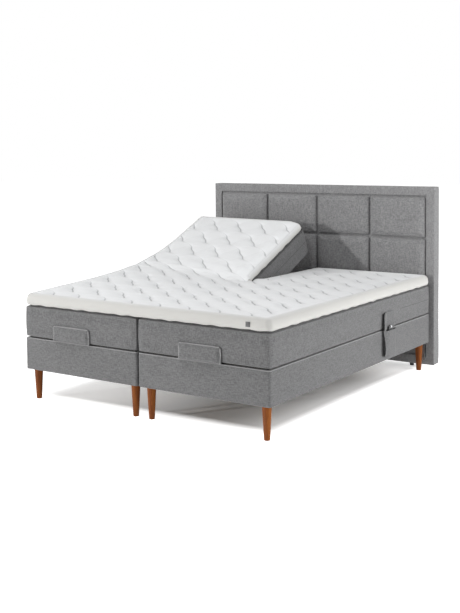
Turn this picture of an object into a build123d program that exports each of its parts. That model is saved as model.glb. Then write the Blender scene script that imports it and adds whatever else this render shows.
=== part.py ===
# Twin adjustable bed: two upholstered units side by side, one topper, one padded headboard.
# Millimetres, X across the bed, +Y towards the head, +Z up, origin on the floor under the middle.
import os
from math import cos, radians, sin, tan

from build123d import *

os.makedirs("parts", exist_ok=True)

# Overall sizes
bed_width = 1800
bed_length = 2100
unit_gap = 8
leg_height = 192
base_height = 199
rim_gap = 3
mattress_thickness = 191
topper_thickness = 70
topper_gap = 0.5

# Lying surface, from the head: back, seat, thigh, and the calf section takes the rest
back_length = 960
seat_length = 330
thigh_length = 360
back_lift = 60
thigh_lift = 30
left_back_angle = 24

# Upholstered base
cover_wall = 6
cover_corner = 12
cover_edge = 7
board_thickness = 22
board_joint = 0.3
leg_inset = 55
leg_top_radius = 27
leg_foot_radius = 17
leg_sides = 24
leg_bolt_radius = 5
leg_bolt_sides = 8
leg_bolt_length = 70
bolt_clearance = 0.2
block_drop = 9

# Decks and hinges
deck_thickness = 15
deck_side_clearance = 6
deck_corner = 8
deck_gap = 2.4
knee_deck_setback = 3
vent_length = 240
vent_width = 30
vent_across = 380
vent_along = 180
hinge_pin_radius = 6
hinge_fit = 0.06
pin_head_radius = 9
pin_head_thickness = 3
pin_head_sides = 6
eye_radius = 13
eye_clearance = 2
eye_sides = 12

# Steel mechanism, measured outwards from the middle of a unit
rail_height = 30
rail_width = 20
rail_wall = 2
rail_clearance = 2
plate_thickness = 6
angle_thickness = 5
angle_flange = 46
angle_flange_thickness = 4
lane_gap = 1.5
cross_tube = 25
cross_tube_wall = 2
cross_tube_from_end = 125
angle_end_clearance = 18
angle_drop = 8

# Lifting shafts: each arm is as long as its shaft is far from the hinge, so the shaft turns
# exactly twice as far as the section that its glides push up
back_shaft_reach = 240
leg_shaft_reach = 120
shaft_drop = 45
shaft_radius = 15
shaft_end_play = 0.5
arm_thickness = 8
arm_fit = 0.05
arm_root = 24
arm_tip = 9
glide_length = 28
glide_clearance = 0.3
bearing_margin = 9

# Drive
drive_width = 150
drive_height = 84
motor_radius = 36
motor_length = 42
motor_spread = 250
motor_edge = 6

# Parallel links that keep the calf section level
link_offset = 200
link_drop = 20
link_thickness = 5
link_open_fit = 0.5

# Soft forms
bend_gap = 0.6
wedge_gap = 0.3
mattress_edge = 14
mattress_corner = 18
topper_edge = 28
topper_underside_edge = 12
topper_corner = 45
topper_crown = 6
soft_overshoot = 2
topper_inset = 4
knee_gap = 0.4

# Retainers
retainer_width = 295
retainer_height = 100
retainer_depth = 22
retainer_corner = 26
retainer_gap = 0.3
left_retainer_shift = -54
right_retainer_shift = -3
side_pad_length = 180
side_pad_height = 112
side_pad_depth = 9
side_pad_from_middle = 375
side_pad_corner = 14
pad_edge = 4
tongue_thickness = 2
tongue_width = 60
tongue_clearance = 0.6

# Handset pocket on the right side
pocket_length = 172
pocket_height = 165
pocket_below_rim = 1
pocket_room = 1.3
pocket_from_middle = 380
pocket_seat = 0.2
pocket_wall = 2.4
pocket_edge = 4
handset_width = 46
handset_length = 186
handset_depth = 10.6
handset_corner = 9
handset_edge = 2
handset_clearance = 0.4
key_radius = 8
key_height = 1.2
key_recess = 3
key_fit = 0.15
key_pitch = 30
key_from_top = 46

# Headboard
headboard_overhang = 26
headboard_depth = 80
headboard_top = 1276
headboard_bottom = 27
headboard_edge = 10
border_depth = 11
tile_columns = 4
tile_rows = 2
tile_border = 61
tile_field_top = 1210
tile_height = 295
tile_depth = 25
tile_side_depth = 13
tile_rim_depth = 15
tile_rim_rise = 4
tile_joint = 1
tile_clearance = 4
bar_width = 14
bar_inset = 45
bar_bottom = 60
glide_foot_radius = 15
glide_foot_inset = 188

# Clamps between the two units
clamp_length = 120
clamp_width = 45
clamp_thickness = 3
clamp_from_middle = 650

# Places that follow from the sizes above
headboard_gap = tile_depth + tile_clearance
total_length = retainer_depth + retainer_gap + bed_length + headboard_gap + headboard_depth
foot_y = -total_length / 2 + retainer_depth + retainer_gap
head_y = foot_y + bed_length
middle_y = foot_y + bed_length / 2
unit_width = (bed_width - unit_gap) / 2
unit_x = (bed_width + unit_gap) / 4
unit_centres = (-unit_x, unit_x)
base_top = leg_height + base_height
mattress_bottom = base_top + rim_gap
deck_bottom = mattress_bottom - deck_thickness
hinge_below_deck = eye_radius + eye_clearance + angle_flange_thickness
hinge_z = deck_bottom - hinge_below_deck
back_hinge_y = head_y - back_length
thigh_hinge_y = back_hinge_y - seat_length
knee_y = thigh_hinge_y - thigh_length
calf_length = knee_y - foot_y

board_face = unit_width / 2 - cover_wall - board_thickness
deck_half_width = board_face - deck_side_clearance
deck_end_inset = cover_wall + board_thickness + deck_side_clearance
deck_top = hinge_below_deck + deck_thickness
back_deck_setback = deck_top * tan(radians(back_lift / 2)) + deck_gap
thigh_deck_setback = deck_top * tan(radians(thigh_lift / 2)) + deck_gap
block_size = 2 * (leg_inset - cover_wall - board_thickness)

# Lanes across a unit: rail, fixed plate or link, angle of the back and thigh, angle of the calf
rail_face = board_face - rail_width
plate_lane = rail_face - plate_thickness / 2
angle_lane = rail_face - plate_thickness - lane_gap - angle_thickness / 2
calf_lane = angle_lane - angle_thickness - lane_gap
link_lane = rail_face - (plate_thickness - link_thickness) / 2 - link_thickness / 2
run_height = hinge_below_deck - angle_flange_thickness
glide_radius = run_height - glide_clearance
glide_lane = angle_lane - angle_thickness / 2 - angle_flange / 2
arm_lane = glide_lane - glide_length / 2 - arm_thickness / 2
rail_top = -pin_head_radius - rail_clearance

# Heights above a hinge line
mattress_low = mattress_bottom - hinge_z
mattress_high = mattress_low + mattress_thickness
topper_low = mattress_high + topper_gap
topper_high = topper_low + topper_thickness


def section_plane(hinge_y, angle=0):
    # A section's own plane: its origin on the hinge line, Y along the bed, Z square to the deck
    tilt = radians(angle)
    return Plane(origin=(0, hinge_y, hinge_z), x_dir=(1, 0, 0), z_dir=(0, -sin(tilt), cos(tilt)))


def side_of(plane, across=0):
    # The plane's side view, so many millimetres across the bed
    return Plane(
        origin=plane.origin + plane.x_dir * across, x_dir=plane.y_dir, z_dir=plane.x_dir
    )


def front_of(plane, along=0):
    # The plane's front view, so many millimetres along the bed
    return Plane(
        origin=plane.origin + plane.y_dir * along, x_dir=plane.x_dir, z_dir=-plane.y_dir
    )


def both_sides(centre, lane):
    return (centre - lane, centre + lane)


def bore(shaft, clearance=hinge_fit):
    # Hole with flats that just clear a round shaft
    RegularPolygon(shaft + clearance, eye_sides, major_radius=False, mode=Mode.SUBTRACT)


def write(piece, name):
    piece.part.label = name
    export_step(piece.part, f"parts/{name}.step")


back_planes = (section_plane(back_hinge_y, left_back_angle), section_plane(back_hinge_y))
seat_plane = section_plane(back_hinge_y)
thigh_plane = section_plane(thigh_hinge_y)
calf_plane = section_plane(knee_y)
unit_names = ("left", "right")

# Base covers: fabric drawn round the boards, with a lip over and under them
with BuildPart() as base_covers:
    with BuildSketch(Plane.XY.offset(leg_height)):
        with Locations(*[(x, middle_y) for x in unit_centres]):
            RectangleRounded(unit_width, bed_length, cover_corner)
    extrude(amount=base_height)
    rims = base_covers.edges().group_by(Axis.Z)
    chamfer(rims[0] + rims[-1], cover_edge)
    with BuildSketch(Plane.XY.offset(leg_height + cover_wall)):
        with Locations(*[(x, middle_y) for x in unit_centres]):
            Rectangle(unit_width - 2 * cover_wall, bed_length - 2 * cover_wall)
    extrude(amount=base_height - 2 * cover_wall, mode=Mode.SUBTRACT)
    with BuildSketch(Plane.XY.offset(leg_height)):
        with Locations(*[(x, middle_y) for x in unit_centres]):
            Rectangle(2 * board_face, bed_length - 2 * (cover_wall + board_thickness))
    extrude(amount=base_height, mode=Mode.SUBTRACT)
write(base_covers, "base_covers")

# Timber boards inside the covers: long side boards, with the end boards between them
board_height = base_height - 2 * cover_wall
board_middle_z = leg_height + base_height / 2
with BuildPart() as base_boards:
    for unit in unit_centres:
        for x in both_sides(unit, board_face + board_thickness / 2):
            with Locations((x, middle_y, board_middle_z)):
                Box(board_thickness, bed_length - 2 * cover_wall, board_height)
        for y in both_sides(middle_y, bed_length / 2 - cover_wall - board_thickness / 2):
            with Locations((unit, y, board_middle_z)):
                Box(2 * (board_face - board_joint), board_thickness, board_height)
write(base_boards, "base_boards")

# Corner blocks, legs and the bolts that join them
leg_spots = [
    (x, y)
    for unit in unit_centres
    for x in both_sides(unit, unit_width / 2 - leg_inset)
    for y in both_sides(middle_y, bed_length / 2 - leg_inset)
]
block_top = deck_bottom - block_drop
bolt_half = leg_bolt_length / 2
bolt_bore = leg_bolt_radius + bolt_clearance
with BuildPart() as corner_blocks:
    with BuildSketch(Plane.XY.offset(leg_height)):
        with Locations(*leg_spots):
            Rectangle(block_size, block_size)
            RegularPolygon(bolt_bore, leg_bolt_sides, mode=Mode.SUBTRACT)
    extrude(amount=block_top - leg_height)
write(corner_blocks, "corner_blocks")

with BuildPart() as legs:
    for x, y in leg_spots:
        with BuildSketch(Plane((x, y, 0))):
            RegularPolygon(leg_foot_radius, leg_sides)
        with BuildSketch(Plane((x, y, leg_height))):
            RegularPolygon(leg_top_radius, leg_sides)
        loft(ruled=True)
    with BuildSketch(Plane.XY.offset(leg_height)):
        with Locations(*leg_spots):
            RegularPolygon(bolt_bore, leg_bolt_sides)
    extrude(amount=-bolt_half - bolt_clearance, mode=Mode.SUBTRACT)
write(legs, "legs")

with BuildPart() as leg_bolts:
    with BuildSketch(Plane.XY.offset(leg_height)):
        with Locations(*leg_spots):
            RegularPolygon(leg_bolt_radius, leg_bolt_sides)
    extrude(amount=bolt_half, both=True)
write(leg_bolts, "leg_bolts")

# Plates that clamp the two bases to each other from below
with BuildPart() as unit_clamps:
    with BuildSketch(Plane.XY.offset(leg_height)):
        with Locations(*[(0, y) for y in both_sides(middle_y, clamp_from_middle)]):
            Rectangle(clamp_length, clamp_width)
    extrude(amount=-clamp_thickness)
write(unit_clamps, "unit_clamps")

# Steel side rails on the inner faces of the side boards
rail_length = bed_length - 2 * (leg_inset + block_size / 2) - 2 * lane_gap
rail_head_end = middle_y + rail_length / 2 - back_hinge_y
rail_bottom = rail_top - rail_height
rail_middle = (rail_top + rail_bottom) / 2
link_base = (-seat_length - link_offset, -link_drop)
with BuildPart() as steel_rails:
    for unit in unit_centres:
        for side in (-1, 1):
            with BuildSketch(front_of(seat_plane, rail_head_end)):
                with Locations((unit + side * (board_face - rail_width / 2), rail_middle)):
                    Rectangle(rail_width, rail_height)
                    Rectangle(
                        rail_width - 2 * rail_wall, rail_height - 2 * rail_wall, mode=Mode.SUBTRACT
                    )
            extrude(amount=rail_length)
write(steel_rails, "steel_rails")

# Plates on the rails: one under the seat deck with both hinge holes, and a bearing for each shaft
shaft_spots = (back_shaft_reach, -seat_length - leg_shaft_reach)
bearing_half = shaft_radius + bearing_margin
bearing_bottom = -shaft_drop - bearing_half
with BuildPart() as rail_plates:
    for unit in unit_centres:
        for lane in both_sides(unit, plate_lane):
            with BuildSketch(side_of(seat_plane, lane)):
                with Locations((-seat_length / 2, (rail_bottom + hinge_below_deck) / 2)):
                    Rectangle(seat_length + 2 * bearing_half, hinge_below_deck - rail_bottom)
                with Locations((0, 0), (-seat_length, 0)):
                    bore(hinge_pin_radius)
                with Locations(*[(y, (rail_top + bearing_bottom) / 2) for y in shaft_spots]):
                    Rectangle(2 * bearing_half, rail_top - bearing_bottom)
                with Locations(*[(y, -shaft_drop) for y in shaft_spots]):
                    bore(shaft_radius)
            extrude(amount=plate_thickness / 2, both=True)
write(rail_plates, "rail_plates")

# Cross tubes that hold the rails apart at both ends
cross_tube_ys = both_sides(middle_y - back_hinge_y, bed_length / 2 - cross_tube_from_end)
with BuildPart() as cross_tubes:
    for unit in unit_centres:
        with BuildSketch(side_of(seat_plane, unit)):
            with Locations(*[(y, rail_bottom + cross_tube / 2) for y in cross_tube_ys]):
                Rectangle(cross_tube, cross_tube)
                hollow = cross_tube - 2 * cross_tube_wall
                Rectangle(hollow, hollow, mode=Mode.SUBTRACT)
        extrude(amount=rail_face, both=True)
write(cross_tubes, "cross_tubes")

# Hinge pins of the back and thigh sections, and the fixed pins of the links
pin_inner = angle_lane - angle_thickness / 2 - lane_gap
with BuildPart() as hinge_pins:
    for unit in unit_centres:
        for side in (-1, 1):
            with BuildSketch(side_of(seat_plane, unit + side * pin_inner)):
                with Locations((0, 0), (-seat_length, 0)):
                    Circle(hinge_pin_radius)
            extrude(amount=side * (rail_face - pin_inner))
            with BuildSketch(side_of(seat_plane, unit + side * rail_face)):
                with Locations((0, 0), (-seat_length, 0)):
                    RegularPolygon(pin_head_radius, pin_head_sides)
            extrude(amount=side * pin_head_thickness)
            with BuildSketch(side_of(seat_plane, unit + side * rail_face)):
                with Locations(link_base):
                    Circle(hinge_pin_radius)
            extrude(amount=-side * plate_thickness)
write(hinge_pins, "hinge_pins")


def arm_outline(tip):
    # Flat bar that narrows from its clamp on the shaft to its tip
    end = Vector(*tip)
    along = end.normalized()
    across = Vector(-along.Y, along.X)
    root_end = along * -arm_root
    tip_end = end + along * arm_tip
    Polyline(
        root_end + across * arm_root,
        tip_end + across * arm_tip,
        tip_end - across * arm_tip,
        root_end - across * arm_root,
        close=True,
    )


def lift_shaft(unit, hinge_y, reach, raised):
    # Shaft with two arms clamped on it, each ending in a round glide. reach is along the bed from
    # the hinge, and raised is how far the section above is turned up at rest.
    shaft_plane = Plane(origin=(unit, hinge_y + reach, hinge_z - shaft_drop))
    turned = shaft_plane.rotated((2 * raised, 0, 0))
    tip = (reach, shaft_drop)
    with BuildPart() as shaft:
        for side in (-1, 1):
            with BuildSketch(side_of(turned, side * arm_lane)):
                with BuildLine():
                    arm_outline(tip)
                make_face()
                bore(shaft_radius, arm_fit)
            extrude(amount=arm_thickness / 2, both=True)
            with BuildSketch(side_of(turned, side * (arm_lane + arm_thickness / 2))):
                with Locations(tip):
                    Circle(glide_radius)
            extrude(amount=side * glide_length)
        with BuildSketch(side_of(turned)):
            Circle(shaft_radius)
        extrude(amount=rail_face - shaft_end_play, both=True)
    return shaft


for unit, name, raised in zip(unit_centres, unit_names, (left_back_angle, 0)):
    write(lift_shaft(unit, back_hinge_y, back_shaft_reach, raised), f"{name}_back_shaft")
    write(lift_shaft(unit, thigh_hinge_y, -leg_shaft_reach, 0), f"{name}_leg_shaft")

# Drive housings: each hangs on the two shafts of its unit
drive_span = shaft_spots[0] - shaft_spots[1]
drive_centre = ((shaft_spots[0] + shaft_spots[1]) / 2, -shaft_drop)
with BuildPart() as drive_housings:
    for unit in unit_centres:
        with BuildSketch(side_of(seat_plane, unit)):
            with Locations(drive_centre):
                SlotCenterToCenter(drive_span, drive_height)
            with Locations(*[(y, -shaft_drop) for y in shaft_spots]):
                bore(shaft_radius)
        extrude(amount=drive_width / 2, both=True)
write(drive_housings, "drive_housings")

# Motor pots under the housings
motor_top = hinge_z - shaft_drop - drive_height / 2
drive_y = back_hinge_y + drive_centre[0]
with BuildPart() as drive_motors:
    with BuildSketch(Plane.XY.offset(motor_top)):
        for unit in unit_centres:
            with Locations(*[(unit, y) for y in both_sides(drive_y, motor_spread / 2)]):
                Circle(motor_radius)
    extrude(amount=-motor_length)
    chamfer(drive_motors.edges().group_by(Axis.Z)[0], motor_edge)
write(drive_motors, "drive_motors")


def deck(plane, unit, low, high):
    # Plywood board from low to high along the section, with rows of vent slots
    length = high - low
    columns = int(2 * deck_half_width / vent_across)
    rows = int(length / vent_along)
    with BuildPart() as board:
        with BuildSketch(plane.offset(hinge_below_deck)) as plan:
            with Locations((unit, (low + high) / 2)):
                Rectangle(2 * deck_half_width, length)
                chamfer(plan.vertices(), deck_corner)
                with GridLocations(vent_across, vent_along, columns, rows):
                    Rectangle(vent_length, vent_width, mode=Mode.SUBTRACT)
        extrude(amount=deck_thickness)
    return board


def angles(plane, unit, lane, low, high, flange, eyes, link_lug=None):
    # Two steel angles under a deck: an upright leg with hinge eyes, and a flange under the board
    inner = lane - angle_thickness / 2
    with BuildPart() as pair:
        for side in (-1, 1):
            with BuildSketch(side_of(plane, unit + side * lane)):
                with Locations(((low + high) / 2, (hinge_below_deck - angle_drop) / 2)):
                    Rectangle(high - low, hinge_below_deck + angle_drop)
                with Locations(*eyes):
                    RegularPolygon(eye_radius, eye_sides)
                if link_lug:
                    with Locations(link_lug):
                        RegularPolygon(eye_radius, eye_sides)
                    with Locations((link_lug[0], link_lug[1] / 2)):
                        Rectangle(2 * eye_radius, -link_lug[1])
                with Locations(*eyes):
                    bore(hinge_pin_radius)
            extrude(amount=angle_thickness / 2, both=True)
            flange_x = unit + side * (inner - angle_flange / 2)
            with BuildSketch(plane.offset(run_height)):
                with Locations((flange_x, (flange[0] + flange[1]) / 2)):
                    Rectangle(angle_flange, flange[1] - flange[0])
            extrude(amount=angle_flange_thickness)
            if link_lug:
                with BuildSketch(side_of(plane, unit + side * lane)):
                    with Locations(link_lug):
                        Circle(hinge_pin_radius)
                extrude(amount=side * (link_lane + link_thickness / 2 - lane))
    return pair


corner_reach = leg_inset + block_size / 2 + angle_end_clearance
back_board = (back_deck_setback, back_length - deck_end_inset)
seat_board = (thigh_deck_setback - seat_length, -back_deck_setback)
thigh_board = (knee_deck_setback - thigh_length, -thigh_deck_setback)
calf_board = (deck_end_inset - calf_length, -knee_deck_setback)
back_angle_end = back_length - corner_reach
calf_angle_end = corner_reach - calf_length
link_lug = (-link_offset, -link_drop)

for unit, name, back_plane in zip(unit_centres, unit_names, back_planes):
    write(deck(back_plane, unit, *back_board), f"{name}_back_deck")
    write(deck(thigh_plane, unit, *thigh_board), f"{name}_thigh_deck")
    write(deck(calf_plane, unit, *calf_board), f"{name}_calf_deck")
    back_angles = angles(
        back_plane, unit, angle_lane, 0, back_angle_end, (back_board[0], back_angle_end), [(0, 0)]
    )
    write(back_angles, f"{name}_back_angles")
    thigh_eyes = [(0, 0), (-thigh_length, 0)]
    write(
        angles(thigh_plane, unit, angle_lane, -thigh_length, 0, thigh_board, thigh_eyes),
        f"{name}_thigh_angles",
    )
    calf_flange = (calf_angle_end, calf_board[1])
    write(
        angles(
            calf_plane, unit, calf_lane, calf_angle_end, 0, calf_flange, [(0, 0)], link_lug
        ),
        f"{name}_calf_angles",
    )

with BuildPart() as seat_decks:
    for unit in unit_centres:
        add(deck(seat_plane, unit, *seat_board).part)
write(seat_decks, "seat_decks")

# Knee pins, carried by the thigh angles, with their heads on the inside
knee_pin_inner = calf_lane - angle_thickness / 2 - lane_gap
for unit, name in zip(unit_centres, unit_names):
    with BuildPart() as knee_pins:
        for side in (-1, 1):
            with BuildSketch(side_of(calf_plane, unit + side * knee_pin_inner)):
                Circle(hinge_pin_radius)
            extrude(amount=side * (angle_lane + angle_thickness / 2 - knee_pin_inner))
            with BuildSketch(side_of(calf_plane, unit + side * knee_pin_inner)):
                RegularPolygon(pin_head_radius, pin_head_sides)
            extrude(amount=-side * pin_head_thickness)
    write(knee_pins, f"{name}_knee_pins")

# Parallel links, as long as the thigh section, between the rails and the calf angles
for unit, name in zip(unit_centres, unit_names):
    with BuildPart() as links:
        for side in (-1, 1):
            with BuildSketch(side_of(thigh_plane, unit + side * link_lane)):
                with Locations((-link_offset - thigh_length / 2, -link_drop)):
                    SlotCenterToCenter(thigh_length, 2 * eye_radius)
                with Locations((-link_offset, -link_drop)):
                    bore(hinge_pin_radius)
                with Locations((-link_offset - thigh_length, -link_drop)):
                    bore(hinge_pin_radius, link_open_fit)
            extrude(amount=link_thickness / 2, both=True)
    write(links, f"{name}_calf_links")


def padded(plane, outline, x_range, z_range, top_edge, low_edge, crown=0, end=0, corner=0):
    # Soft block: a side outline, a crowned front outline with rounded edges, and a plan with
    # rounded corners at one end, which is 1 at the head, -1 at the foot and 0 for neither. It is
    # shaped level and then set on its plane. The side and the plan pass the faces of the front,
    # so that all rounded cuts cross them
    x_low, x_high = x_range
    z_low, z_high = z_range
    middle = (x_low + x_high) / 2
    shoulder = z_high - crown
    reach = 2 * max(abs(y) for y, z in outline)
    with BuildPart() as block:
        with BuildSketch(side_of(Plane.XY)) as side:
            with BuildLine():
                Polyline(*outline, close=True)
            make_face()
            if end:
                ends = side.vertices().group_by(Axis.X)[-1 if end > 0 else 0].sort_by(Axis.Y)
                fillet(ends[0], low_edge + soft_overshoot)
                ends = side.vertices().group_by(Axis.X)[-1 if end > 0 else 0].sort_by(Axis.Y)
                fillet(ends[-1], top_edge + soft_overshoot)
        extrude(amount=bed_width, both=True)
        with BuildSketch(front_of(Plane.XY)) as front:
            with BuildLine():
                Polyline((x_low, shoulder), (x_low, z_low), (x_high, z_low), (x_high, shoulder))
                if crown:
                    ThreePointArc((x_high, shoulder), (middle, z_high), (x_low, shoulder))
                else:
                    Line((x_high, shoulder), (x_low, shoulder))
            make_face()
            fillet(front.vertices().group_by(Axis.Y)[0], low_edge)
            fillet(front.vertices().group_by(Axis.Y)[-1], top_edge)
        extrude(amount=reach, both=True, mode=Mode.INTERSECT)
        if end:
            tip = max(y * end for y, z in outline) + soft_overshoot
            with BuildSketch(Plane.XY) as plan:
                with Locations((middle, end * (tip - reach / 2))):
                    Rectangle(x_high - x_low + 2 * soft_overshoot, reach)
                corners = plan.vertices().group_by(Axis.Y)[-1 if end > 0 else 0]
                fillet(corners, corner + soft_overshoot)
            extrude(amount=reach, both=True, mode=Mode.INTERSECT)
    with BuildPart() as pad:
        add(block.part.moved(plane.location))
    return pad


back_half = tan(radians(back_lift / 2))
thigh_half = tan(radians(thigh_lift / 2))


def back_face(z):
    # How far a section's slanted end stands from the back hinge at a height above it
    return z * back_half + bend_gap


def thigh_face(z):
    return z * thigh_half + bend_gap


def beyond(span):
    low, high = span
    return low - soft_overshoot, high + soft_overshoot


def back_outline(low, high, inset=0):
    tip = back_length - inset
    return [(back_face(low), low), (tip, low), (tip, high), (back_face(high), high)]


def seat_outline(low, high):
    return [
        (thigh_face(low) - seat_length, low),
        (-back_face(low), low),
        (-back_face(high), high),
        (thigh_face(high) - seat_length, high),
    ]


def thigh_outline(low, high):
    knee = knee_gap - thigh_length
    return [(knee, low), (-thigh_face(low), low), (-thigh_face(high), high), (knee, high)]


def calf_outline(low, high, inset=0):
    tip = inset - calf_length
    return [(tip, low), (-knee_gap, low), (-knee_gap, high), (tip, high)]


def bend_outline(face, low, high, raised=0):
    # Filling of a bend, from the fixed face to the face of the section at its rest angle
    tilt = radians(raised)
    outline = [(wedge_gap - face(low), low)]
    for z in (low, high):
        y = face(z) - wedge_gap
        outline.append((y * cos(tilt) - z * sin(tilt), y * sin(tilt) + z * cos(tilt)))
    outline.append((wedge_gap - face(high), high))
    return outline


def bend(plane, outline, x_range):
    with BuildPart() as filling:
        with BuildSketch(side_of(plane, x_range[0])):
            with BuildLine():
                Polyline(*outline, close=True)
            make_face()
        extrude(amount=x_range[1] - x_range[0])
    return filling.part


mattress_span = (mattress_low, mattress_high)
topper_span = (topper_low, topper_high)
unit_ranges = [(x - unit_width / 2, x + unit_width / 2) for x in unit_centres]
topper_half = bed_width / 2 - topper_inset
topper_range = (-topper_half, topper_half)
topper_ranges = [(-topper_half, -unit_gap / 2), (unit_gap / 2, topper_half)]

# Mattress sections of both units
for x_range, name, back_plane in zip(unit_ranges, unit_names, back_planes):
    edges = (mattress_edge, mattress_edge)
    back_block = padded(
        back_plane,
        back_outline(*beyond(mattress_span)),
        x_range,
        mattress_span,
        *edges,
        end=1,
        corner=mattress_corner,
    )
    write(back_block, f"{name}_mattress_back")
    write(
        padded(thigh_plane, thigh_outline(*beyond(mattress_span)), x_range, mattress_span, *edges),
        f"{name}_mattress_thigh",
    )
    calf_block = padded(
        calf_plane,
        calf_outline(*beyond(mattress_span)),
        x_range,
        mattress_span,
        *edges,
        end=-1,
        corner=mattress_corner,
    )
    write(calf_block, f"{name}_mattress_calf")

with BuildPart() as mattress_seats:
    for x_range in unit_ranges:
        add(
            padded(
                seat_plane,
                seat_outline(*beyond(mattress_span)),
                x_range,
                mattress_span,
                mattress_edge,
                mattress_edge,
            ).part
        )
write(mattress_seats, "mattress_seats")

# Mattress filling in the bends at the back and thigh hinges
with BuildPart() as mattress_bends:
    for x_range, raised in zip(unit_ranges, (left_back_angle, 0)):
        add(bend(seat_plane, bend_outline(back_face, *mattress_span, raised), x_range))
        add(bend(thigh_plane, bend_outline(thigh_face, *mattress_span), x_range))
write(mattress_bends, "mattress_bends")

# Topper: one piece over both units, divided only at the head end
topper_form = (topper_edge, topper_underside_edge, topper_crown)
for x_range, name, back_plane in zip(topper_ranges, unit_names, back_planes):
    topper_back = padded(
        back_plane,
        back_outline(*beyond(topper_span), topper_inset),
        x_range,
        topper_span,
        *topper_form,
        end=1,
        corner=topper_corner,
    )
    write(topper_back, f"{name}_topper_back")
write(
    padded(seat_plane, seat_outline(*beyond(topper_span)), topper_range, topper_span, *topper_form),
    "topper_seat",
)
write(
    padded(thigh_plane, thigh_outline(*beyond(topper_span)), topper_range, topper_span, *topper_form),
    "topper_thigh",
)
topper_calf = padded(
    calf_plane,
    calf_outline(*beyond(topper_span), topper_inset),
    topper_range,
    topper_span,
    *topper_form,
    end=-1,
    corner=topper_corner,
)
write(topper_calf, "topper_calf")

bend_top = topper_high - topper_crown
with BuildPart() as topper_bends:
    for x_range, raised in zip(topper_ranges, (left_back_angle, 0)):
        add(bend(seat_plane, bend_outline(back_face, topper_low, bend_top, raised), x_range))
    add(bend(thigh_plane, bend_outline(thigh_face, topper_low, bend_top), topper_range))
write(topper_bends, "topper_bends")

# Foot retainers: padded plates on flat tongues that run under the mattress to the calf deck
tongue_bottom = base_top + tongue_clearance - hinge_z
foot_face = -calf_length - retainer_gap
for unit, name, shift in zip(
    unit_centres, unit_names, (left_retainer_shift, right_retainer_shift)
):
    with BuildPart() as retainer:
        with BuildSketch(front_of(calf_plane, foot_face)) as outline:
            with Locations((unit + shift, tongue_bottom + retainer_height / 2)):
                Rectangle(retainer_width, retainer_height)
            fillet(outline.vertices().group_by(Axis.Y)[-1], retainer_corner)
        extrude(amount=retainer_depth)
        chamfer(retainer.faces().sort_by(Axis.Y)[0].edges(), pad_edge)
        with BuildSketch(calf_plane.offset(tongue_bottom)):
            with Locations((unit + shift, (foot_face + calf_board[0]) / 2)):
                Rectangle(tongue_width, calf_board[0] - foot_face)
        extrude(amount=tongue_thickness)
    write(retainer, f"{name}_foot_retainer")

# Side retainers on the outer side of each back section
side_pad_y = middle_y + side_pad_from_middle - back_hinge_y
side_face = bed_width / 2 + retainer_gap
for unit, name, side, back_plane in zip(unit_centres, unit_names, (-1, 1), back_planes):
    with BuildPart() as side_retainer:
        with BuildSketch(side_of(back_plane, side * side_face)) as outline:
            with Locations((side_pad_y, tongue_bottom + side_pad_height / 2)):
                Rectangle(side_pad_length, side_pad_height)
            fillet(outline.vertices().group_by(Axis.Y)[-1], side_pad_corner)
        extrude(amount=side * side_pad_depth)
        outer_face = side_retainer.faces().sort_by(Axis.X)[-1 if side > 0 else 0]
        chamfer(outer_face.edges(), pad_edge)
        deck_edge = abs(unit) + deck_half_width
        with BuildSketch(back_plane.offset(tongue_bottom)):
            with Locations((side * (deck_edge + side_face) / 2, side_pad_y)):
                Rectangle(side_face - deck_edge, tongue_width)
        extrude(amount=tongue_thickness)
    write(side_retainer, f"{name}_side_retainer")

# Handset pocket on the right base, open at the top
pocket_x = bed_width / 2 + pocket_seat
pocket_y = middle_y + pocket_from_middle
pocket_top = base_top - pocket_below_rim
pocket_bottom = pocket_top - pocket_height
handset_x = side_face + side_pad_depth + handset_clearance
handset_face = handset_x + handset_depth
pocket_depth = handset_face + key_height + pocket_room + pocket_wall - pocket_x
with BuildPart() as handset_pocket:
    with Locations((pocket_x + pocket_depth / 2, pocket_y, pocket_bottom + pocket_height / 2)):
        Box(pocket_depth, pocket_length, pocket_height)
    outer = handset_pocket.faces().sort_by(Axis.X)[-1]
    fillet(outer.edges() - outer.edges().sort_by(Axis.Z)[-1:], pocket_edge)
    with Locations((pocket_x + pocket_depth / 2, pocket_y, pocket_top)):
        Box(
            pocket_depth - 2 * pocket_wall,
            pocket_length - 2 * pocket_wall,
            2 * (pocket_height - pocket_wall),
            mode=Mode.SUBTRACT,
        )
write(handset_pocket, "handset_pocket")

# Handset standing in the pocket, outside the side retainer, and its two keys
handset_bottom = pocket_bottom + pocket_wall + handset_clearance / 2
key_top = handset_bottom + handset_length - key_from_top
key_spots = [(pocket_y, key_top), (pocket_y, key_top - key_pitch)]
with BuildPart() as handset:
    with BuildSketch(Plane.YZ.offset(handset_x)):
        with Locations((pocket_y, handset_bottom + handset_length / 2)):
            RectangleRounded(handset_width, handset_length, handset_corner)
    extrude(amount=handset_depth)
    chamfer(handset.faces().sort_by(Axis.X)[-1].edges(), handset_edge)
    with BuildSketch(Plane.YZ.offset(handset_face)):
        with Locations(*key_spots):
            Circle(key_radius + key_fit)
    extrude(amount=-key_recess, mode=Mode.SUBTRACT)
write(handset, "handset")

for spot, name in zip(key_spots, ("raise_key", "lower_key")):
    with BuildPart() as key:
        with BuildSketch(Plane.YZ.offset(handset_face + key_height)):
            with Locations(spot):
                Circle(key_radius)
        extrude(amount=-key_recess)
    write(key, name)

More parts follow.
